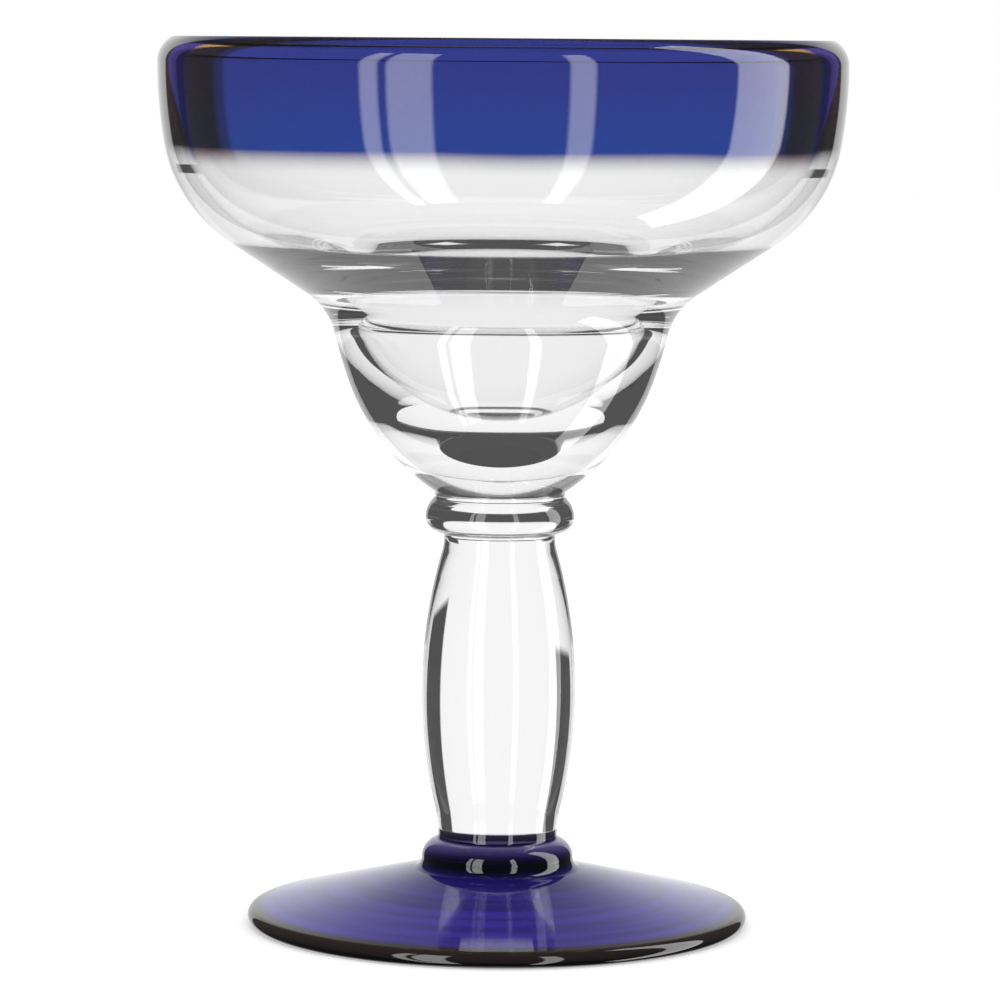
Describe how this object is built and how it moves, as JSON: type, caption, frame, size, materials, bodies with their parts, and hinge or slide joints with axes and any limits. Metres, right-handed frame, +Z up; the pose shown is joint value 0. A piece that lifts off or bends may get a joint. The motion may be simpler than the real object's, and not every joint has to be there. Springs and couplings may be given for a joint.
{
  "type": "margarita glass",
  "caption": "Stemmed cocktail glass with a wide tucked-lip bowl over a deep cup, a blue band at the rim, a ringed stem and a blue foot.",
  "frame": {"origin": "centre of the plane that the foot rests on", "axes": "+Z up along the stem, from the foot to the rim; +X and +Y lie in the resting plane"},
  "size_m": [0.12, 0.12, 0.1555],
  "materials": {
    "clear_glass": "clear, smooth, fire polished",
    "cobalt_glass": "cobalt blue all through, smooth",
    "blue_rim_glass": "clear glass tinted cobalt blue, fading out downwards"
  },
  "bodies": {
    "root": {"foot": "cobalt_glass", "foot_collar": "cobalt_glass", "stem": "clear_glass", "stem_knop": "clear_glass", "bowl": "clear_glass", "rim_band": "blue_rim_glass"}
  },
  "joints": []
}
